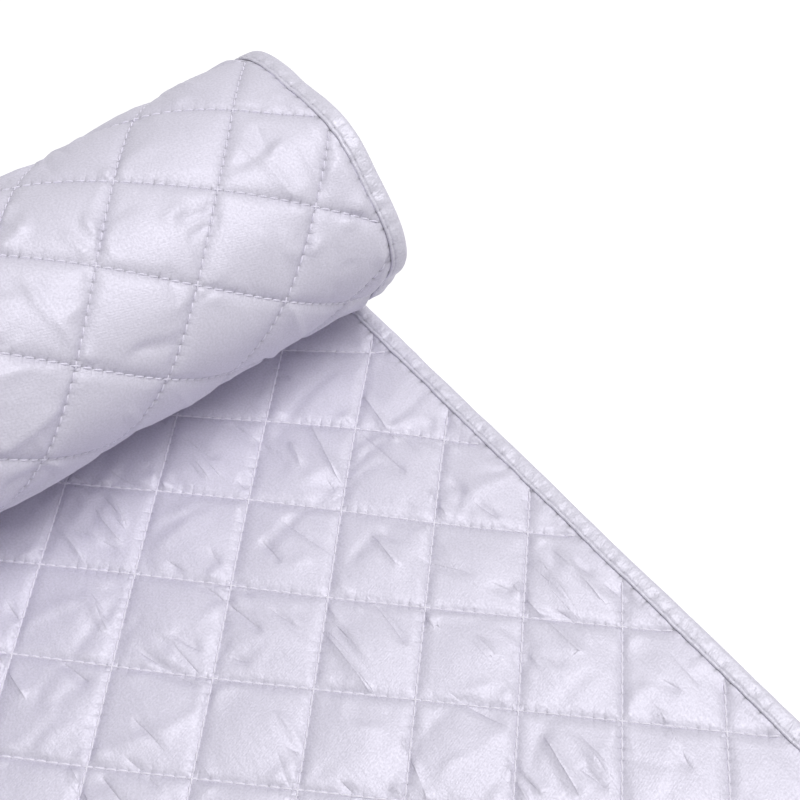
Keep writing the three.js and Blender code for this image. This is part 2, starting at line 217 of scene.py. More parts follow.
# %% [markdown]
# ## The cloth's relief
# Between its seams the satin has more length than it needs, so the wadding lifts it into pillows and what
# is left over goes into creases and into small puckers beside the stitches. That is a cloth simulation:
# points joined by springs that are about one per cent longer than the gaps between them, held down at the
# stitches and pushed up by the wadding. It runs here as whole-array steps on a patch of twelve rows by
# twelve columns whose opposite sides join, so the patch can be laid over the whole pad. Across the pad
# there is more spare cloth than along it, and that is why the creases run along the pad.

# %% A patch of cloth that relaxes over its wadding
PATCH_ROWS = 12
PATCH = PATCH_ROWS * STEPS
patch_i, patch_j = np.meshgrid(np.arange(PATCH), np.arange(PATCH), indexing="ij")


def seam_gaps(i, j):
    """How far a grid point is from the nearest seam of each direction, in millimetres."""
    both = [np.mod(i + j, 2 * STEPS), np.mod(i - j, 2 * STEPS)]
    return [np.minimum(k, 2 * STEPS - k) * STEP * math.sqrt(0.5) for k in both]


def pillow(one, two, edge, reach, dome):
    """Height over the seams: a quick rise of edge beside the stitches, 1 - exp(-gap / reach) for each
    seam, and over it a dome, the product of two half sine waves."""
    rise = (1 - np.exp(-one / reach)) * (1 - np.exp(-two / reach))
    return edge * rise + dome * np.sin(np.pi * one / CELL) * np.sin(np.pi * two / CELL)


def smooth_field(random, along, across, lean):
    """Random values over the patch, joined smoothly and repeating at its sides: white noise blurred by a
    Gaussian of the two lengths, in millimetres, that is turned by lean."""
    i, j = np.meshgrid(np.fft.fftfreq(PATCH, STEP), np.fft.fftfreq(PATCH, STEP), indexing="ij")
    u, v = i * math.cos(lean) + j * math.sin(lean), j * math.cos(lean) - i * math.sin(lean)
    kept = np.exp(-2 * math.pi ** 2 * ((along * u) ** 2 + (across * v) ** 2))
    field = np.fft.ifft2(np.fft.fft2(random.normal(size=(PATCH, PATCH))) * kept).real
    return field / field.std()


FOLD_TOP, ARC_TOP, ARC_REACHES = (0.6, 0.77), (0.4, 0.63), (2.4, 1.1)


def across_line(gap, top, reaches):
    """A fold's height across its line: exp(-(sqrt(gap^2 + rounding) - off) / reach). top gives rounding
    and off, and reaches the reach for negative and for positive gaps."""
    rounding, off = top
    return np.exp(-(np.sqrt(gap * gap + rounding) - off) / np.where(gap > 0, reaches[1], reaches[0]))


# The least slope that a gap is worked out with, the slopes between which a fold comes in, both times its
# length across, and over how much of the second field it comes in
LEAST_SLOPE, SLOPES, COMES_IN = 0.35, (0.3, 0.8), 0.9


def folds(random, along, across, lean, steep, gentle, bare, patch):
    """Folds that follow the lines where a smooth field is zero, where a second field, with the lengths in
    patch, is above bare. They are steep on one side of the line and gentle on the other. Gives how high
    each is, from 0 to 1, and the signed gap to its line."""
    field = smooth_field(random, along, across, lean)
    rises = [(np.roll(field, -1, axis) - np.roll(field, 1, axis)) / (2 * STEP) for axis in (0, 1)]
    slope = np.hypot(*rises)
    gap = field / np.maximum(slope, LEAST_SLOPE / across)
    kept = ease(smooth_field(random, *patch, lean), bare, bare + COMES_IN) * ease(slope * across, *SLOPES)
    return kept * across_line(gap, FOLD_TOP, (steep, gentle)), gap


ARC_RADIUS, ARC_TURN_SPREAD = (6, 11), 0.3


def arcs(random, share):
    """Small folds that go a quarter of the way round some crossings, from 0 to 1."""
    side = PATCH * STEP
    total = np.zeros((PATCH, PATCH))
    crossings = [(row, column) for row in range(PATCH_ROWS) for column in range(row % 2, PATCH_ROWS, 2)]
    for row, column in crossings:
        turned = random.integers(4) * math.pi / 2 + random.normal(0, ARC_TURN_SPREAD)
        radius = random.uniform(*ARC_RADIUS)
        if random.uniform() < share:
            u = (patch_i * STEP - row * PITCH + side / 2) % side - side / 2
            v = (patch_j * STEP - column * PITCH + side / 2) % side - side / 2
            gap = np.hypot(u, v) - radius
            facing = np.clip(np.cos(np.arctan2(v, u) - turned), 0, 1) ** 4
            total += facing * across_line(gap, ARC_TOP, ARC_REACHES)
    return total


# Lengths in millimetres along and across, the lean in radians, and where and how a fold is there
RIDGES = dict(along=30, across=4.6, lean=-0.08, steep=1.3, gentle=2.8, bare=0.1, patch=(6, 5))
DENTS = dict(along=26, across=5.0, lean=0.22, steep=1.3, gentle=2.6, bare=0.2, patch=(5, 5))
TROUGHS = dict(along=6, across=18, lean=0.25, steep=2.4, gentle=4.5, bare=-0.1, patch=(7, 9))
SWELLINGS = dict(along=8, across=20, lean=-0.2, steep=2.4, gentle=4.5, bare=-0.1, patch=(8, 8))
HELD_BESIDE_SEAM, DENT_SHARE, ARC_SHARE, LINE_REACH = 2.6, 0.8, 0.45, 4.0


def crumple(random, sharp, soft, bent):
    """All creases of the patch: short sharp ridges and dents that lean to either side of the pad's
    length, soft troughs and swellings across it, and arcs, each of the given height in millimetres. Gives
    their heights together, and for the fine line on top of the sharp ones the signed gap to the line and
    its height, both in millimetres."""
    held = ease(np.minimum(*seam_gaps(patch_i, patch_j)), 0, HELD_BESIDE_SEAM)
    ridge, ridge_gap = folds(random, **RIDGES)
    dent, dent_gap = folds(random, **DENTS)
    trough, _ = folds(random, **TROUGHS)
    swelling, _ = folds(random, **SWELLINGS)
    total = sharp * (ridge - DENT_SHARE * dent) + soft * (swelling - trough)
    total = (total + bent * arcs(random, ARC_SHARE)) * held
    lines = [sharp * fold ** 0.5 * held * np.clip(1.3 - (gap / LINE_REACH) ** 2, 0, 1)
             for fold, gap in ((ridge, ridge_gap), (dent, dent_gap))]
    return total, np.where(lines[0] > lines[1], ridge_gap, dent_gap), lines[0] - lines[1]


def spring(moved, free, step_i, step_j, rest, strength, folding):
    """One pass of the springs that join each point to the one (step_i, step_j) away: both ends move half
    of what the spring is too long or too short. Springs that resist folding act only when they are too
    short."""
    far, far_free = (np.roll(a, (-step_i, -step_j), (0, 1)) for a in (moved, free))
    gap = far - moved + np.array([step_i * STEP, step_j * STEP, 0], np.float32)
    length = np.sqrt((gap * gap).sum(-1, keepdims=True))
    off = length - rest
    if folding:
        off = np.minimum(off, 0)
    push = gap * (strength * off / length / np.maximum(free + far_free, 1))
    pushed, its_free = (np.roll(a, (step_i, step_j), (0, 1)) for a in (push, far_free))
    return push * free - pushed * its_free


# Steps along and across to the spring's far end, its strength, and whether it only resists folding
SPRINGS = [(1, 0, 0.5, False), (0, 1, 0.5, False), (1, 1, 0.25, False), (1, -1, 0.25, False),
           (2, 0, 0.2, True), (0, 2, 0.2, True), (3, 3, 0.06, True), (3, -3, 0.06, True),
           (4, 0, 0.08, True), (0, 4, 0.08, True)]
# The cloth's height at a needle hole and between two holes, and the least share of the lifted height
AT_HOLE, BETWEEN_HOLES, LEAST_LIFT = -0.2, 0.1, 0.5
# What each round keeps of the last movement, and how far the wadding pushes the cloth back
KEPT_MOVEMENT, WADDING_PUSH = 0.9, 0.02


def relax(edge, reach, dome, spare_along, spare_across, seeds, rounds):
    """The patch's displacement from the flat, (PATCH, PATCH, 3) in millimetres, after so many rounds of
    springs. The pillow's edge, reach and dome are as above, the spare cloth is a share of its length, and
    seeds are the creases that it starts with."""
    one, two = seam_gaps(patch_i, patch_j)
    lifted = pillow(one, two, edge, reach, dome)
    seam = (one < 1e-6) | (two < 1e-6)
    free = np.where(seam, 0, 1).astype(np.float32)[..., None]
    stitched = np.where(patch_i % 2 == 1, AT_HOLE, BETWEEN_HOLES)
    moved = np.zeros((PATCH, PATCH, 3), np.float32)
    moved[..., 2] = np.where(seam, stitched, lifted + seeds)
    pinned = moved.copy()
    low = (LEAST_LIFT * lifted).astype(np.float32)
    last = moved
    for _ in range(rounds):
        moved, last = moved + (moved - last) * KEPT_MOVEMENT, moved
        moved[..., 2] = np.maximum(moved[..., 2] + WADDING_PUSH * (lifted - moved[..., 2]), low)
        for step_i, step_j, strength, folding in SPRINGS:
            rest = math.hypot(step_i * STEP * (1 + spare_along), step_j * STEP * (1 + spare_across))
            moved = moved + spring(moved, free, step_i, step_j, rest, strength, folding)
        moved = np.where(free > 0, moved, pinned)
    return moved.astype(float)


# %% Run it for both faces
rounds = 80
random = np.random.default_rng(5)
face_creases = crumple(random, sharp=1.4, soft=0.8, bent=1.0)
back_creases = crumple(random, sharp=1.0, soft=1.8, bent=0.4)
FACE_FORM = dict(edge=0.7, reach=1.4, dome=1.5, spare_along=0.008, spare_across=0.014)
BACK_FORM = dict(edge=1.2, reach=2.0, dome=1.3, spare_along=0.006, spare_across=0.010)
# The shares of the creases that the springs start with and that are laid on afterwards
SEED_SHARE, CREASE_SHARE = 0.3, 0.85
face_patch = relax(**FACE_FORM, seeds=SEED_SHARE * face_creases[0], rounds=rounds)
back_patch = relax(**BACK_FORM, seeds=SEED_SHARE * back_creases[0], rounds=rounds)
face_patch[..., 2] += CREASE_SHARE * face_creases[0]
back_patch[..., 2] += CREASE_SHARE * back_creases[0]
for name, patch in (("face", face_patch), ("back", back_patch)):
    highest, mean = patch[..., 2].max(), patch[..., 2].mean()
    print(name, "relief: highest", round(highest, 2), "mm, mean", round(mean, 2), "mm")

# %% [markdown]
# ## Laying the relief over the pad
# The relief fades out at the tape, is held back where another turn of the pad lies against it, and is
# pressed flat where the pad lies on the floor. Each cloth then has a height above the sheet's lower face
# at every grid point.


# %% Heights of both cloths
def from_patch(patch):
    """The patch repeated over the whole grid."""
    return patch[np.mod(row_index, PATCH), np.mod(column_index, PATCH)]


def edge_fade(distance, across, ramp):
    """0 at the tape's inner edge and 1 further in than the ramp is long."""
    from_ends = np.minimum(distance, SHEET_LENGTH - distance) - TAPE_WIDTH
    return ease(np.minimum(TAPE_EDGE - np.abs(across), from_ends), 0, ramp)


# The distances between which the lift falls
LIFT_FALLS = (FLAT_LENGTH - 20, FLAT_LENGTH + 40)


def edge_lift(distance):
    """How far the sheet's edge is lifted: by the tape under it on the flat part, and much less round the
    roll."""
    return EDGE_LIFT - (EDGE_LIFT - ROLL_LIFT) * ease(distance, *LIFT_FALLS)


fade = edge_fade(grid_distance, grid_across, EDGE_RAMP)
lift = edge_lift(grid_distance) * (1 - fade)
inner_fade = np.sqrt(fade)
# How much of the relief there is room for: the face by distance in millimetres, the back by the turn
FACE_PLACES, FACE_ROOM = [0, 345, 362, 377, 460, 520, 1000], [1, 1, 0.6, 0.35, 0.35, 0.8, 0.7]
BACK_TURN, BACK_ROOM = np.radians([0, 1, 90, 280, 335, 365, 440]), [0.3, 1, 1, 1, 1.1, 0.3, 0.3]
face_room = np.interp(grid_distance, FACE_PLACES, FACE_ROOM) * inner_fade
back_room = np.interp(turned_at(grid_distance), BACK_TURN, BACK_ROOM) * inner_fade
on_floor = grid_distance < FLAT_LENGTH
# How high the back's seams stand over the floor, and over what length this fades before the roll
PRESSED_HEIGHT, PRESSED_FADE = 0.9, 30

face_relief = from_patch(face_patch) * face_room[..., None]
back_relief = from_patch(back_patch) * back_room[..., None]
face_height = SEAM_THICKNESS + lift + face_relief[..., 2]
back_height = lift - back_relief[..., 2]
before_roll = ease(grid_distance, FLAT_LENGTH, FLAT_LENGTH - PRESSED_FADE)
pressed = np.where(on_floor, PRESSED_HEIGHT * inner_fade * before_roll, 0)
back_height = np.where(on_floor, lift + np.maximum(pressed - back_relief[..., 2], FLOOR_GAP), back_height)


def cloth_points(relief, height):
    """The grid's points in metres, each moved in the sheet by the relief's sideways part."""
    distance = np.clip(grid_distance + relief[..., 0], RAW_EDGE, SHEET_LENGTH - RAW_EDGE)
    across = np.clip(grid_across - relief[..., 1], -EDGE_ACROSS, EDGE_ACROSS)
    points = place(distance, across, height)
    points[..., 2] = np.maximum(points[..., 2], FLOOR_GAP * MM)
    return points


face_points = cloth_points(face_relief, face_height)
back_points = cloth_points(back_relief, back_height)


# %% [markdown]
# ## From a grid to a mesh
# A cloth is a grid of points, so its faces are known from their places in the grid. Rows in sight keep
# every step, and the rows inside the roll or under the flat part keep every third one. Each square is cut
# along the diagonal that runs the way the nearer seam does, so that a seam is a clean line of edges.

# %% Mesh helpers
LEAST_AREA = 1e-4
COARSE = 3


def new_mesh(name, points, faces):
    """An object at the origin from an (n, 3) array of points in metres and an array of faces."""
    mesh = bpy.data.meshes.new(name)
    faces = np.asarray(faces)
    mesh.vertices.add(len(points))
    mesh.vertices.foreach_set("co", np.ascontiguousarray(points, np.float32).ravel())
    mesh.loops.add(faces.size)
    mesh.loops.foreach_set("vertex_index", faces.astype(np.int32).ravel())
    mesh.polygons.add(len(faces))
    mesh.polygons.foreach_set("loop_start", np.arange(0, faces.size, faces.shape[1], dtype=np.int32))
    mesh.polygons.foreach_set("loop_total", np.full(len(faces), faces.shape[1], np.int32))
    mesh.update(calc_edges=True)
    mesh.validate()
    mesh.shade_smooth()
    made = bpy.data.objects.new(name, mesh)
    bpy.context.scene.collection.objects.link(made)
    return made


def add_uv(made, name, values):
    """A UV map from an (n, 2) array with one row for each vertex."""
    index = np.empty(len(made.data.loops), np.int32)
    made.data.loops.foreach_get("vertex_index", index)
    layer = made.data.uv_layers.new(name=name)
    layer.data.foreach_set("uv", np.ascontiguousarray(values[index], np.float32).ravel())


def pairs(u, v):
    """Two arrays of the same shape as rows of two values."""
    return np.stack([u, v], -1).reshape(-1, 2)


def cloth_mesh(name, points, kept_rows, upward, creases, room):
    """Triangles between neighbouring grid rows and columns, without those that the edges cut off. Its UV
    maps are "weave", the place in metres, "quilt", the place in diamonds, and "crease", the gap to the
    crease's line and how high its fine line is, in millimetres."""
    i, j = np.meshgrid(kept_rows, np.arange(columns.size), indexing="ij")
    kept = points[i, j].reshape(-1, 3)
    flat = pairs(grid_distance[i, j], grid_across[i, j])
    width = columns.size
    low = (np.arange(len(kept_rows) - 1)[:, None] * width + np.arange(width - 1)).ravel()
    a, b, c, d = low, low + width, low + width + 1, low + 1
    row = rows[i[:-1, :-1]].ravel() + 0.5
    column = columns[j[:-1, :-1]].ravel() + 0.5
    one, two = seam_gaps(row, column)
    falling = (one < two)[:, None]
    first = np.where(falling, np.stack([a, b, d], 1), np.stack([a, b, c], 1))
    second = np.where(falling, np.stack([b, c, d], 1), np.stack([a, c, d], 1))
    faces = np.concatenate([first, second])
    p, q, r = (flat[faces[:, k]] for k in range(3))
    area = (q[:, 0] - p[:, 0]) * (r[:, 1] - p[:, 1]) - (q[:, 1] - p[:, 1]) * (r[:, 0] - p[:, 0])
    faces = faces[np.abs(area) > LEAST_AREA]
    if not upward:
        faces = faces[:, ::-1]
    used, faces = np.unique(faces, return_inverse=True)
    made = new_mesh(name, kept[used], faces.reshape(-1, 3))
    pattern = pairs(rows[i] + columns[j], rows[i] - columns[j]) / (2 * STEPS)
    add_uv(made, "weave", flat[used] * MM)
    add_uv(made, "quilt", pattern[used])
    gap, strength = from_patch(creases[1])[i, j], (from_patch(creases[2]) * room)[i, j]
    add_uv(made, "crease", pairs(gap, strength)[used])
    print(name, "has", len(made.data.polygons), "triangles")
    return made


# %% The two cloths
def rows_between(first, last):
    """Grid rows that are kept: every one between two rows of the pattern, and every third one elsewhere."""
    fine = (rows >= first * STEPS) & (rows <= last * STEPS)
    return np.flatnonzero(fine | (rows % COARSE == 0))


face_cloth = cloth_mesh("face_satin_cloth", face_points, rows_between(-1, 12.4), upward=True,
                        creases=face_creases, room=face_room)
back_cloth = cloth_mesh("back_satin_cloth", back_points, rows_between(12.6, 25), upward=False,
                        creases=back_creases, room=back_room)
for cloth, node in ((face_cloth, "face_cloth"), (back_cloth, "back_cloth")):
    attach(cloth, "root")
    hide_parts(node)

# %% [markdown]
# ## The stitches
# Each stitch of a lockstitch is a short piece of thread that comes up through one hole and goes down
# through the next. There are thousands, so each is a bent rod of five sides with pointed ends, placed
# from the cloth's own points at its two holes. One array holds them all.


# %% Stitches between pairs of points
SIDES = 5
ROD_PLACES = np.array([0.0, 0.08, 0.36, 0.64, 0.92, 1.0])
ROD_THICKNESS = np.array([0.0, 0.85, 1.0, 1.0, 0.85, 0.0])
THREAD_GAP = 0.02


def unit(vectors):
    """The rows of an (n, 3) array made 1 long."""
    return vectors / np.linalg.norm(vectors, axis=1, keepdims=True)


def rod_faces():
    """One rod's triangles: point 0, four rings of SIDES points, and the last point."""
    k = np.arange(SIDES)
    n = (k + 1) % SIDES
    last = 1 + 4 * SIDES
    walls = [1 + SIDES * r + np.stack([k, n, SIDES + n, SIDES + k], 1) for r in range(3)]
    triangles = [wall[:, [0, 1, 2]] for wall in walls] + [wall[:, [0, 2, 3]] for wall in walls]
    ends = [np.stack([0 * k, 1 + n, 1 + k], 1), last - np.stack([0 * k, SIDES - k, SIDES - n], 1)]
    return np.concatenate(triangles + ends)


def stitches(name, start, end, normal, radius, rise, share, slant):
    """Rods between start and end, all (n, 3): rings of five points along each, the middle ones lifted
    along the normal, and a pointed end on both sides. share is how much of the gap between the holes the
    rod fills, and slant is how far its ends are turned out of the line, as the twist of the thread turns
    them."""
    thick = ROD_THICKNESS * radius
    arch = rise * np.sin(np.pi * ROD_PLACES) - 0.5 * radius
    middle, half = (start + end) / 2, (end - start) / 2 * share
    half = half + unit(np.cross(normal, half)) * slant
    forward = unit(half)
    side = unit(np.cross(normal, forward))
    up = np.cross(forward, side)
    angle = np.arange(SIDES) * 2 * np.pi / SIDES
    centre = middle[:, None] + half[:, None] * (2 * ROD_PLACES - 1)[:, None] + up[:, None] * arch[:, None]
    ring = side[:, None, None] * np.cos(angle)[:, None] + up[:, None, None] * np.sin(angle)[:, None]
    body = centre[:, 1:5, None] + ring * thick[1:5, None, None]
    points = np.concatenate([centre[:, :1], body.reshape(len(start), -1, 3), centre[:, 5:]], 1)
    points[..., 2] = np.maximum(points[..., 2], THREAD_GAP * MM)
    first = np.arange(len(start))[:, None, None] * points.shape[1]
    faces = (first + rod_faces()).reshape(-1, 3)
    made = new_mesh(name, points.reshape(-1, 3), faces)
    print(name, "has", len(start), "stitches and", len(faces), "triangles")
    return made


HOLE_RAMP = 0.5


def quilt_stitches(name, points, on_top, **rod):
    """A stitch for every second step along each seam, where both holes are inside the tape."""
    size_i, size_j = points.shape[:2]
    normal = np.cross(np.gradient(points, axis=0), np.gradient(points, axis=1)) * (1 if on_top else -1)
    starts, ends, normals = [], [], []
    for slope in (1, -1):
        on_seam = np.mod(row_index - slope * column_index, 2 * STEPS) == 0
        i, j = np.nonzero(on_seam & (row_index % 2 == 1))
        ok = (i + 2 < size_i) & (j + 2 * slope < size_j) & (j + 2 * slope >= 0)
        i, j = i[ok], j[ok]
        i2, j2 = i + 2, j + 2 * slope
        holes = ((i, j), (i2, j2))
        inside = [edge_fade(raw_distance[a, b], raw_across[a, b], HOLE_RAMP) > 0.99 for a, b in holes]
        keep = inside[0] & inside[1]
        i, j, i2, j2 = i[keep], j[keep], i2[keep], j2[keep]
        starts.append(points[i, j])
        ends.append(points[i2, j2])
        normals.append(normal[(i + i2) // 2, (j + j2) // 2])
    normal = np.concatenate(normals)
    normal /= np.linalg.norm(normal, axis=1, keepdims=True) + 1e-12
    return stitches(name, np.concatenate(starts), np.concatenate(ends), normal, **rod)


face_thread = quilt_stitches("quilting_stitches_on_face", face_points, on_top=True, radius=0.5 * MM,
                             rise=0.65 * MM, share=1.14, slant=0.16 * MM)
back_thread = quilt_stitches("quilting_stitches_on_back", back_points, on_top=False, radius=0.44 * MM,
                             rise=0.65 * MM, share=0.94, slant=0.25 * MM)
for thread, node in ((face_thread, "quilting_thread_face"), (back_thread, "quilting_thread_back")):
    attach(thread, "root")
    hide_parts(node)

# %% [markdown]
# ## The binding tapes
# A tape is folded over each edge of the sheet and sewn down near its inner edge. Its section is a soft U:
# rounded at the fold, a little full in the middle, and drawn down in a groove where the stitches run.
# Carried along the edge it wanders a little and puckers at the stitches, and the long tapes close at
# their ends, where the raw end is turned in. The section is one line that Solidify turns into cloth.


# %% Tape section and its small movements
RING_STEP = 1.05
# Points of the section, as depths in from the fold, and which of them the stitches run along
SECTION = np.array([9.0, 8.97, 8.85, 8.6, 8.2, 7.8, 7.5, 7.3, 7.1, 6.8, 6.3, 5.4, 4.5, 3.6, 2.7, 1.9, 1.3,
                    0.8, 0.4, 0.15, 0.02])
STITCH_COLUMN = 7
STITCH_DEPTH, TAPE_STITCH, FIRST_HOLE, DOUBLED_SATIN = 7.3, 8.0, 6.0, 0.25
# Half its thickness, the depth and the power of the bend at its fold, and the heights of its forms
TAPE_HALF, BEND_DEPTH, BEND_POWER = 1.6, 2.0, 2.2
FULLNESS, GROOVE, LIP, EDGE_DROP, HOLE_PUCKER = 0.22, 0.3, 0.15, 0.55, 0.45
# Its small waves, each with a height, a period and a number that is added to the seed
PUCKERS, GATHERS = [(0.22, 3.1, 0), (0.24, 6.0, 1)], [(0.42, 5.5, 2), (0.25, 13, 8)]
FOLD_SHORT, FOLD_LONG, INNER_EDGE = [(0.16, 5.5, 4)], [(0.24, 26, 5)], [(0.2, 4.6, 6), (0.2, 13, 7)]


def wander(along, period, seed):
    """A smooth random line from -1 to 1: random values a period apart, joined by an eased curve."""
    values = np.random.default_rng(seed).uniform(-1, 1, int(np.max(along) / period) + 3)
    place_in = np.maximum(along, 0) / period
    whole = place_in.astype(int)
    return values[whole] + (values[whole + 1] - values[whole]) * ease(place_in - whole, 0, 1)


def waves(along, seed, parts):
    """The sum of height * wander for parts of a height, a period and a number for the seed."""
    return sum(height * wander(along, period, seed + number) for height, period, number in parts)


def tape_section(along, seed, full_back):
    """Depth in from the fold and height above the sheet's middle, for each place along (rows) and each
    point of the section (columns): the face side from its inner edge to the fold, then the back side to
    its inner edge."""
    depth = SECTION
    bend = 1 - np.minimum(depth, BEND_DEPTH) / BEND_DEPTH
    half = TAPE_HALF * (1 - bend ** BEND_POWER) ** (1 / BEND_POWER)
    full = FULLNESS * np.sin(np.pi * np.clip((depth - 0.6) / 6.4, 0, 1)) ** 0.8
    groove = GROOVE * np.exp(-(((depth - STITCH_DEPTH) / 0.35) ** 2))
    lip = LIP * ease(depth, 7.4, 8.2) - EDGE_DROP * np.clip((depth - 8.5) / 0.5, 0, 1) ** 3
    near = np.exp(-(((depth - 6.0) / 2.2) ** 2))
    strong = 0.3 + 0.7 * ease(wander(along, 60, seed + 3), -0.2, 0.6)
    hole = (0.5 + 0.5 * np.cos(2 * np.pi * (along - FIRST_HOLE) / TAPE_STITCH)) ** 3
    pucker = waves(along, seed, PUCKERS) - HOLE_PUCKER * hole
    wave = waves(along, seed, GATHERS) * strong
    outer = np.sin(np.pi * np.clip((depth - 0.2) / 6.8, 0, 1))
    face = half + full - groove + lip + (pucker[:, None] * near + wave[:, None] * outer)
    back = half + full_back[:, None] * (full - groove + pucker[:, None] * near) + lip
    slip = (waves(along, seed, FOLD_SHORT) * strong + waves(along, seed, FOLD_LONG))[:, None]
    inner = waves(along, seed, INNER_EDGE)[:, None]
    share = depth / TAPE_WIDTH
    moved = depth + slip * (1 - share) ** 1.5 + inner * share ** 3
    return np.concatenate([moved, moved[:, ::-1]], 1), np.concatenate([face, -back[:, ::-1]], 1)


def strip_faces(rings, across):
    """Quads of a grid of rings by points across."""
    low = (np.arange(rings - 1)[:, None] * across + np.arange(across - 1)).ravel()
    return np.stack([low, low + across, low + across + 1, low + 1], 1)


def finish_tape(name, points, depth, along, flip, node):
    """The tape's mesh from its (rings, section, 3) points, given the thickness of the doubled satin. Its
    UV map "sewn" gives the gap to the line of stitches and the place along it, in millimetres."""
    faces = strip_faces(*points.shape[:2])
    points[..., 2] = np.maximum(points[..., 2], FLOOR_GAP * MM)
    made = new_mesh(name, points.reshape(-1, 3), faces[:, ::-1] if flip else faces)
    step = np.linalg.norm(np.diff(points, axis=1), axis=2)
    section = np.concatenate([np.zeros((len(points), 1)), np.cumsum(step, 1)], 1)
    rings = np.arange(len(points))[:, None] * RING_STEP * MM + 0 * section
    add_uv(made, "weave", pairs(rings, section))
    add_uv(made, "sewn", pairs(depth - STITCH_DEPTH, along[:, None] - FIRST_HOLE + 0 * depth))
    wall = made.modifiers.new("cloth", "SOLIDIFY")
    wall.thickness, wall.offset = DOUBLED_SATIN * MM, -1
    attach(made, "root")
    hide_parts(node)
    return made


# %% Four tapes and their stitches
tapes, tape_threads = [], []


def tape_line(name, node, start, end, normal):
    """The stitches of one tape on one side, a little shorter than their pitch."""
    made = stitches(name, start, end, normal, radius=0.24 * MM, rise=0.4 * MM, share=0.94, slant=0.0)
    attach(made, "root")
    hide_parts(node)
    tape_threads.append(made)


def at_rings(values, where):
    """The rows of an (n, 3) array at places that may lie between its rings."""
    return np.stack([np.interp(where, np.arange(len(values)), values[:, k]) for k in range(3)], 1)


def sew(node_end, points, where):
    """Stitches on both sides of a tape, from its own points: where gives the rings at which the holes
    are. They stand on the cloth away from the tape's other side."""
    back_column = points.shape[1] - 1 - STITCH_COLUMN
    upward = at_rings(points[:, STITCH_COLUMN] - points[:, back_column], where)[:-1]
    for side, column, away in (("face", STITCH_COLUMN, 1), ("back", back_column, -1)):
        line, beside = at_rings(points[:, column], where), at_rings(points[:, column + 3], where)
        start, end = line[:-1], line[1:]
        normal = unit(np.cross(end - start, beside[:-1] - start))
        sign = np.sign((normal * upward).sum(1, keepdims=True)) * away
        node = f"binding_stitch_{node_end}_{side}"
        tape_line(f"tape_{node_end}_stitches_on_{side}", node, start, end, normal * sign)


def hole_rings(length, margin, rings):
    """Where the needle holes are, counted in rings, up to the margin before the tape's far end."""
    return np.arange(FIRST_HOLE, length - margin, TAPE_STITCH) / length * (rings - 1)


for side, node_end, seed in ((1, "right_side", 20), (-1, "left_side", 40)):
    along = np.linspace(0, SHEET_LENGTH, int(SHEET_LENGTH / RING_STEP))
    full_back = ease(along, FLAT_LENGTH, FLAT_LENGTH + 30)
    depth, height = tape_section(along, seed, full_back)
    height *= np.sqrt(np.clip(np.minimum(along, SHEET_LENGTH - along) / TAPE_HALF, 0, 1))[:, None]
    middle = edge_lift(along)[:, None] + SEAM_THICKNESS / 2
    points = place(along[:, None] + 0 * depth, side * (FOLD - depth), middle + height)
    tapes.append(finish_tape(f"tape_{node_end}", points, depth, along, side < 0, f"binding_{node_end}"))
    sew(node_end, points, hole_rings(SHEET_LENGTH, FIRST_HOLE, len(along)))

END_GAP, END_MARGIN = 0.3, 2
for end, node_end, seed in ((0, "flat_end", 60), (SHEET_LENGTH, "rolled_end", 80)):
    reach = TAPE_EDGE - END_GAP
    along = np.linspace(0, 2 * reach, int(2 * reach / RING_STEP))
    depth, height = tape_section(along, seed, np.full(len(along), float(end > 0)))
    distance = depth if end == 0 else end - depth
    across = (reach - along)[:, None] + 0 * depth
    points = place(distance, across, edge_lift(end) + SEAM_THICKNESS / 2 + height)
    tapes.append(finish_tape(f"tape_{node_end}", points, depth, along, end > 0, f"binding_{node_end}"))
    sew(node_end, points, hole_rings(2 * reach, END_MARGIN, len(along)))
print("tapes:", [made.name for made in tapes])

# %% [markdown]
# ## The wadding
# The layer inside is never seen, but it is a piece of its own, so it gets its own padded form: thick in
# the middle of each diamond and thin at the seams. It stays inside both cloths: its top is under the face
# cloth's lowest point nearby, and its underside over the back cloth's highest one.


# %% Wadding between the two cloths
INSET, WADDING_GRID = 2.4, (170, 97)
UNDER_FACE, OVER_BACK, LEAST_HALF, OVER_FLOOR = 0.45, 0.35, 0.15, np.array([0.4, 0.1])
GUESSES, NEAR_STEPS, RIM_STEPS = 20, 4, 3


def pattern_at(distance, across):
    """Row and column of a place: quilt_place turned round, by putting each guess back in."""
    row = (distance - FIRST_ROW) / PITCH
    column = (TAPE_EDGE - across - FIRST_COLUMN) / PITCH
    for _ in range(GUESSES):
        found_distance, found_across = quilt_place(row, column)
        row = row + (distance - found_distance) / PITCH
        column = column - (across - found_across) / PITCH
    return row, column


def lowest_near(height):
    """The lowest value within NEAR_STEPS of each grid point, first along the rows and then across them."""
    for axis in (0, 1):
        moved = [np.roll(height, step, axis) for step in range(-NEAR_STEPS, NEAR_STEPS + 1)]
        height = np.min(moved, axis=0)
    return height


along = np.linspace(INSET, SHEET_LENGTH - INSET, WADDING_GRID[0])
across = np.linspace(-FOLD + INSET, FOLD - INSET, WADDING_GRID[1])
distance, across = np.meshgrid(along, across, indexing="ij")
row, column = pattern_at(distance, across)
i = np.clip(np.round(row * STEPS).astype(int) - rows[0], RIM_STEPS, rows.size - 1 - RIM_STEPS)
j = np.clip(np.round(column * STEPS).astype(int) - columns[0], RIM_STEPS, columns.size - 1 - RIM_STEPS)
wadding_top = lowest_near(face_height)[i, j] - UNDER_FACE
wadding_low = -lowest_near(-back_height)[i, j] + OVER_BACK
wadding_middle = (wadding_top + wadding_low) / 2
wadding_half = np.maximum((wadding_top - wadding_low) / 2, LEAST_HALF)
both = np.stack([place(distance, across, wadding_middle + side * wadding_half) for side in (1, -1)])
both[..., 2] = np.maximum(both[..., 2], OVER_FLOOR[:, None, None] * MM)
width = across.shape[1]
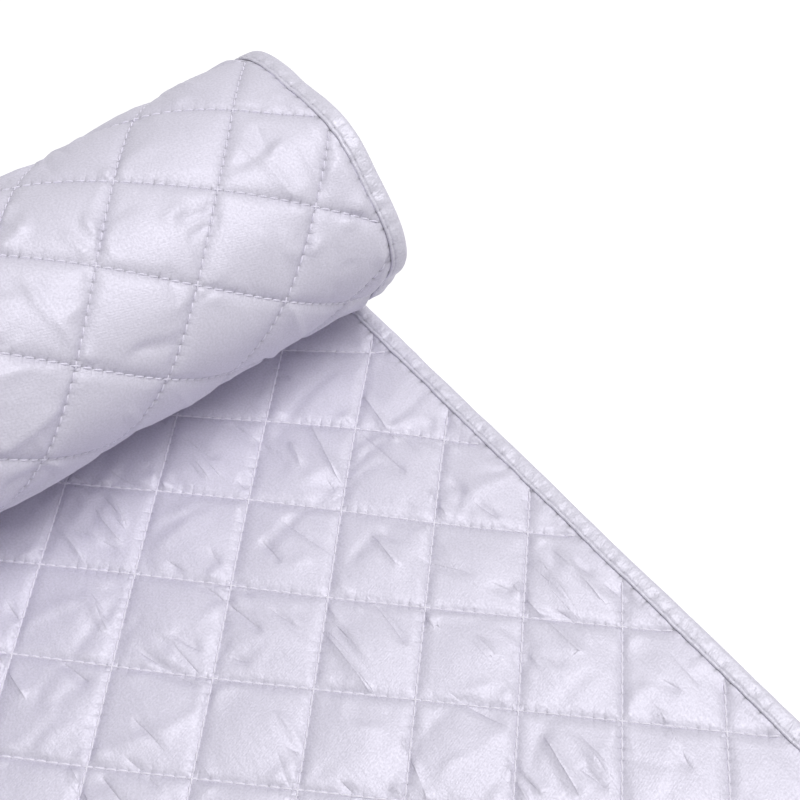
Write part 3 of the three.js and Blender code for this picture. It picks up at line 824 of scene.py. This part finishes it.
quads = strip_faces(*across.shape)
count = across.size
border = np.concatenate([np.arange(width), np.arange(1, len(along)) * width + width - 1,
                         count - 2 - np.arange(width - 1), (np.arange(len(along) - 2, 0, -1)) * width])
following = np.roll(border, -1)
walls = np.stack([border, following, following + count, border + count], 1)
faces = np.concatenate([quads, quads[:, ::-1] + count, walls])
wadding = new_mesh("wadding_layer", both.reshape(-1, 3), faces)
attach(wadding, "root")
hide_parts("wadding")
print("wadding has", len(wadding.data.polygons), "faces")

# %% [markdown]
# ## Satin
# Satin is woven so that its long threads lie on top: it is smooth, with a broad soft gloss, and close up
# it shows fine slanting lines. The coated kind used here has a little silver in it. Its colour is almost
# even, so what one sees is mostly its shape: the pillows and creases are in the mesh, and finer things
# come as bump from the cloth's own maps, with painted shade in the seams, the needle holes and under the
# tape's edge. "weave" gives the place on the cloth in metres, and in "quilt" the seams are where u or v
# is whole.


# %% Small helpers for shader nodes
def new_material(name):
    """A material with its tree and its Principled shader."""
    made = bpy.data.materials.new(name)
    made.use_nodes = True
    return made, made.node_tree, made.node_tree.nodes["Principled BSDF"]


def add_node(tree, kind, inputs=(), **settings):
    """A node with its settings, and its inputs set to values or joined to other nodes' outputs."""
    node = tree.nodes.new("ShaderNode" + kind)
    for name, value in settings.items():
        setattr(node, name, value)
    for name, value in dict(inputs).items():
        if isinstance(value, bpy.types.NodeSocket):
            tree.links.new(value, node.inputs[name])
        else:
            node.inputs[name].default_value = value
    return node


def map_parts(tree, name):
    """The two coordinates of a UV map."""
    return add_node(tree, "SeparateXYZ", {0: add_node(tree, "UVMap", uv_map=name).outputs[0]}).outputs


def calc(tree, operation, *values):
    """The result of a Math node."""
    node = add_node(tree, "Math", enumerate(values), operation=operation)
    return node.outputs[0]


def noise(tree, where, scale, detail=2.0, stretch=(1, 1, 1)):
    """Soft noise about 0.5, finer as scale grows, drawn out along the axes whose stretch is small."""
    spread = add_node(tree, "Mapping", {"Vector": where, "Scale": stretch})
    made = add_node(tree, "TexNoise", {"Vector": spread.outputs[0], "Scale": scale, "Detail": detail})
    return made.outputs[0]


def bumped(tree, height, distance, normal=None):
    """The surface's normal with a height in metres times distance added."""
    made = add_node(tree, "Bump", {"Height": height, "Distance": distance, "Strength": 1.0})
    if normal is not None:
        tree.links.new(normal, made.inputs["Normal"])
    return made.outputs[0]


def two_tones(tree, share, low, high):
    """A colour between low and high."""
    ramp = add_node(tree, "Mix", {"Factor": share, "A": (*low, 1), "B": (*high, 1)}, data_type="RGBA")
    return ramp.outputs[2]


# %% Fine forms and marks that come as bump and tone
TWILL_PITCH, TWILL_ANGLE = 1.0 * MM, 0.25
STITCHES_IN_CELL = 9


def twill(tree, weave):
    """Slanting lines TWILL_PITCH apart, broken up a little. At scale 1 the waves are pi / 10 long."""
    turned_weave = add_node(tree, "Mapping", {"Vector": weave, "Rotation": (0, 0, TWILL_ANGLE)})
    bands = {"Vector": turned_weave.outputs[0], "Scale": 2 * math.pi / (20 * TWILL_PITCH)}
    return add_node(tree, "TexWave", {**bands, "Distortion": 0.8, "Detail": 1.0}).outputs[1]


def falling(tree, *gaps):
    """exp(-(gap / reach + gap / reach + ...)) for pairs of a gap and its reach."""
    total = 0.0
    for gap, reach in gaps:
        total = calc(tree, "ADD", total, calc(tree, "MULTIPLY", gap, -1 / reach))
    return calc(tree, "POWER", math.e, total)


def to_nearest(tree, place_along, pitch):
    """How far the nearest whole number of pitches is."""
    return calc(tree, "PINGPONG", place_along, pitch / 2)


def less(tree, colour, depth, share):
    """A colour made darker by depth where share is 1."""
    factor = calc(tree, "SUBTRACT", 1.0, calc(tree, "MULTIPLY", share, depth))
    made = add_node(tree, "VectorMath", {0: colour}, operation="SCALE")
    tree.links.new(factor, made.inputs["Scale"])
    return made.outputs[0]


# Along the seams: how far each mark reaches square to the seam and along it, in millimetres
SEAM_REACH, PUCKER_LENGTH, PUCKER_WIDTH, HOLE_LENGTH, HOLE_WIDTH = 0.8, 2.1, 0.7, 1.2, 0.35
SEAM_BUMP, PUCKER_BUMP = 0.4 * MM, 0.5 * MM


def quilting_marks(tree, tone, normal, weave, painted_hole_shade):
    """Along each seam: the cloth turned down into the stitches in a narrow groove, small folds square to
    it at the needle holes, here and there stronger, and painted shade in a darker line and darker holes."""
    parts = map_parts(tree, "quilt")
    patches = noise(tree, weave, scale=70, detail=3)
    uneven = add_node(tree, "MapRange", {"Value": patches, "From Min": 0.42, "From Max": 0.68})
    for across, along in ((0, 1), (1, 0)):
        gap = calc(tree, "MULTIPLY", to_nearest(tree, parts[across], 1), CELL)
        shifted = calc(tree, "ADD", parts[along], 0.5 / STITCHES_IN_CELL)
        to_hole = calc(tree, "MULTIPLY", to_nearest(tree, shifted, 1 / STITCHES_IN_CELL), CELL)
        pucker = falling(tree, (gap, PUCKER_LENGTH), (to_hole, PUCKER_WIDTH))
        normal = bumped(tree, calc(tree, "MULTIPLY", pucker, uneven.outputs[0]), -PUCKER_BUMP, normal)
        groove = falling(tree, (gap, SEAM_REACH))
        normal = bumped(tree, groove, -SEAM_BUMP, normal)
        # Painted shade: the groove and the needle holes are darker in the colour, where the cloth in them
        # lies in shade
        tone = less(tree, tone, painted_hole_shade / 2, groove)
        tone = less(tree, tone, painted_hole_shade, falling(tree, (gap, HOLE_LENGTH), (to_hole, HOLE_WIDTH)))
    return tone, normal


# Painted shadow in the gap under the tape's inner edge, darkest at the tape's needle holes
SPOT_PAINTED_SHADOW, SPOT_LENGTH, SPOT_WIDTH = 0.85, 1.2 * MM, 1.0 * MM
GATHER_REACH, GATHER_BUMP = 2.5 * MM, 0.5 * MM


def tape_marks(tree, tone, normal, weave):
    """Along the tape: painted shadow, dark at its needle holes where the cloth is drawn in under it and
    the gap beneath lies in shade, and fine gathers."""
    parts = add_node(tree, "SeparateXYZ", {0: weave}).outputs
    beside = calc(tree, "SUBTRACT", TAPE_EDGE * MM, calc(tree, "ABSOLUTE", parts[1]))
    from_end = calc(tree, "SUBTRACT", parts[0], TAPE_WIDTH * MM)
    gap = calc(tree, "MAXIMUM", calc(tree, "MINIMUM", beside, from_end), 0.0)
    to_hole = to_nearest(tree, calc(tree, "SUBTRACT", parts[0], FIRST_HOLE * MM), TAPE_STITCH * MM)
    gathers = noise(tree, weave, scale=500, detail=2, stretch=(1, 0.12, 1))
    near_tape = calc(tree, "MULTIPLY", gathers, falling(tree, (gap, GATHER_REACH)))
    painted_spot_shadow = falling(tree, (gap, SPOT_LENGTH), (to_hole, SPOT_WIDTH))
    return less(tree, tone, SPOT_PAINTED_SHADOW, painted_spot_shadow), bumped(tree, near_tape, GATHER_BUMP, normal)


# Painted shade in the tape's stitch groove and at its needle holes
SEWN_PAINTED_SHADE, SEWN_REACH = 0.12, 0.3
POINT_PAINTED_SHADE, POINT_WIDTH, POINT_LENGTH = 0.6, 0.5, 0.4


def sewn_painted_shade(tree, tone):
    """On the tape: painted shade, a darker groove under its stitches and a dark point at each hole."""
    parts = map_parts(tree, "sewn")
    gap = calc(tree, "ABSOLUTE", parts[0])
    tone = less(tree, tone, SEWN_PAINTED_SHADE, falling(tree, (gap, SEWN_REACH)))
    to_hole = to_nearest(tree, parts[1], TAPE_STITCH)
    return less(tree, tone, POINT_PAINTED_SHADE, falling(tree, (gap, POINT_WIDTH), (to_hole, POINT_LENGTH)))


GENTLE_REACH, STEEP_REACH = 2.0, 0.5


def sharp_creases(tree):
    """The sharp line on top of each crease, from the map "crease": its height, falling gently on one side
    of the line and steeply on the other."""
    parts = map_parts(tree, "crease")
    gentle = calc(tree, "MAXIMUM", parts[0], 0.0)
    steep = calc(tree, "MAXIMUM", calc(tree, "MULTIPLY", parts[0], -1.0), 0.0)
    line = falling(tree, (gentle, GENTLE_REACH), (steep, STEEP_REACH))
    return calc(tree, "MULTIPLY", line, parts[1])


# %% Satin for the two cloths and the tape
SILVER, SATIN_SPECULAR = 0.2, 0.25
SPECK_SHADE, ROUGH_SPREAD = 0.10, 0.09
TWILL_BUMP, GRAIN_BUMP = 0.02 * MM, 0.16 * MM


def satin(name, low, high, roughness, ripple, painted_hole_shade, crease):
    """Coated satin between two tones. ripple and crease are the heights in metres of its ripples and of the
    sharp lines on its creases, and the hole shade darkens the seams and needle holes as painted shade. The
    tape has no quilting and no such lines, and its crease is 0."""
    made, tree, shader = new_material(name)
    weave = add_node(tree, "UVMap", uv_map="weave").outputs[0]
    grain = noise(tree, weave, scale=1000, detail=2)
    specks = add_node(tree, "MapRange", {"Value": grain, "From Min": 0.35, "From Max": 0.65})
    tone = two_tones(tree, noise(tree, weave, scale=60, detail=4), low, high)
    tone = less(tree, tone, SPECK_SHADE, specks.outputs[0])
    spread = {"To Min": roughness - ROUGH_SPREAD, "To Max": roughness + ROUGH_SPREAD}
    rough = add_node(tree, "MapRange", {"Value": grain, **spread})
    tree.links.new(rough.outputs[0], shader.inputs["Roughness"])
    shader.inputs["Metallic"].default_value = SILVER
    shader.inputs["Specular IOR Level"].default_value = SATIN_SPECULAR
    if crease > 0:
        normal = bumped(tree, noise(tree, weave, scale=120, stretch=(0.5, 1, 1)), ripple)
        tone, normal = quilting_marks(tree, tone, normal, weave, painted_hole_shade)
        tone, normal = tape_marks(tree, tone, normal, weave)
        normal = bumped(tree, sharp_creases(tree), crease, normal)
    else:
        normal = bumped(tree, noise(tree, weave, scale=260, detail=3, stretch=(1, 0.6, 1)), ripple)
        tone = sewn_painted_shade(tree, tone)
    tree.links.new(tone, shader.inputs["Base Color"])
    normal = bumped(tree, twill(tree, weave), TWILL_BUMP, normal)
    normal = bumped(tree, grain, GRAIN_BUMP, normal)
    tree.links.new(normal, shader.inputs["Normal"])
    return made


face_satin = satin("face_satin", (0.715, 0.69, 0.80), (0.765, 0.74, 0.85), roughness=0.52,
                   ripple=0.6 * MM, painted_hole_shade=0.08, crease=0.27 * MM)
back_satin = satin("back_satin", (0.73, 0.705, 0.815), (0.78, 0.755, 0.865), roughness=0.57,
                   ripple=0.35 * MM, painted_hole_shade=0.22, crease=0.1 * MM)
tape_satin = satin("tape_satin", (0.71, 0.69, 0.79), (0.78, 0.76, 0.86), roughness=0.5,
                   ripple=0.9 * MM, painted_hole_shade=0.0, crease=0.0)
face_cloth.data.materials.append(face_satin)
back_cloth.data.materials.append(back_satin)
for made in tapes:
    made.data.materials.append(tape_satin)

# %% [markdown]
# ## Thread and wadding
# Thread is duller than satin: many fine fibres twisted together. The wadding is loose off-white fibre.


# %% Thread and wadding
FIBRE_SHEEN = 0.2


def fibre(name, low, high, roughness, grain, bump):
    """A dull fibrous finish on Object coordinates, with a grain of that scale and bump."""
    made, tree, shader = new_material(name)
    where = add_node(tree, "TexCoord").outputs["Object"]
    fine = noise(tree, where, grain, detail=3)
    tree.links.new(two_tones(tree, fine, low, high), shader.inputs["Base Color"])
    shader.inputs["Roughness"].default_value = roughness
    shader.inputs["Sheen Weight"].default_value = FIBRE_SHEEN
    tree.links.new(bumped(tree, fine, bump), shader.inputs["Normal"])
    return made


QUILTING = dict(roughness=0.4, grain=1800, bump=0.1 * MM)
TOPSTITCHING = dict(roughness=0.55, grain=900, bump=0.1 * MM)
LOOSE_FIBRE = dict(roughness=0.9, grain=400, bump=0.6 * MM)
white_thread = fibre("white_thread", (0.88, 0.85, 0.965), (0.93, 0.90, 1.0), **QUILTING)
pale_thread = fibre("pale_thread", (0.83, 0.80, 0.925), (0.90, 0.87, 1.0), **QUILTING)
grey_thread = fibre("grey_thread", (0.30, 0.29, 0.34), (0.52, 0.50, 0.57), **TOPSTITCHING)
wadding_fibre = fibre("wadding_fibre", (0.80, 0.78, 0.74), (0.93, 0.91, 0.88), **LOOSE_FIBRE)
face_thread.data.materials.append(white_thread)
back_thread.data.materials.append(pale_thread)
for made in tape_threads:
    made.data.materials.append(grey_thread)
wadding.data.materials.append(wadding_fibre)

# %% [markdown]
# ## A plain floor and soft light
# One large soft light hangs above, as in a product studio, and the room gives a little light from
# everywhere. The floor is a pale grey, and to the camera and to gloss it adds light of its own, so that
# the background is white while no more light falls on the satin. What the pad shades is still darker.

# %% Floor, room and lamp
FLOOR_REACH, FLOOR_TONE, FLOOR_GLOW, ROOM_LIGHT = 9, 0.72, 0.5, 0.29
corners = FLOOR_REACH * np.array([[-1, -1, 0], [1, -1, 0], [1, 1, 0], [-1, 1, 0]], float)
floor = new_mesh("floor", corners, np.array([[0, 1, 2, 3]]))


def seen(tree):
    """1 for a ray from the camera, from gloss or through glass, and 0 for light that falls on things."""
    path = add_node(tree, "LightPath").outputs
    direct = calc(tree, "MAXIMUM", path["Is Camera Ray"], path["Is Glossy Ray"])
    return calc(tree, "MAXIMUM", direct, path["Is Transmission Ray"])


white_floor, tree, shader = new_material("white_floor")
shader.inputs["Base Color"].default_value = (FLOOR_TONE, FLOOR_TONE, FLOOR_TONE, 1)
shader.inputs["Roughness"].default_value = 0.9
shader.inputs["Specular IOR Level"].default_value = 0.0
shader.inputs["Emission Color"].default_value = (1, 1, 1, 1)
tree.links.new(calc(tree, "MULTIPLY", seen(tree), FLOOR_GLOW), shader.inputs["Emission Strength"])
floor.data.materials.append(white_floor)

world = bpy.data.worlds.new("studio")
bpy.context.scene.world = world
world.use_nodes = True
tree = world.node_tree
room = add_node(tree, "MapRange", {"Value": seen(tree), "To Min": ROOM_LIGHT, "To Max": 1.0})
tree.links.new(room.outputs[0], tree.nodes["Background"].inputs["Strength"])
tree.nodes["Background"].inputs["Color"].default_value = (1, 1, 1, 1)


def soft_light(name, place_at, aim, size, power):
    """A rectangular lamp that faces its aim."""
    data = bpy.data.lights.new(name, "AREA")
    data.shape = "RECTANGLE"
    data.size, data.size_y = size
    data.energy = power
    lamp = bpy.data.objects.new(name, data)
    bpy.context.scene.collection.objects.link(lamp)
    lamp.location = place_at
    lamp.rotation_euler = (Vector(aim) - Vector(place_at)).to_track_quat("-Z", "Y").to_euler()


soft_light("overhead_light", place_at=(0.52, 0.9, 2.85), aim=(0, 0, 0), size=(1.6, 1.6), power=57.5)

bpy.context.scene.view_settings.view_transform = "Standard"
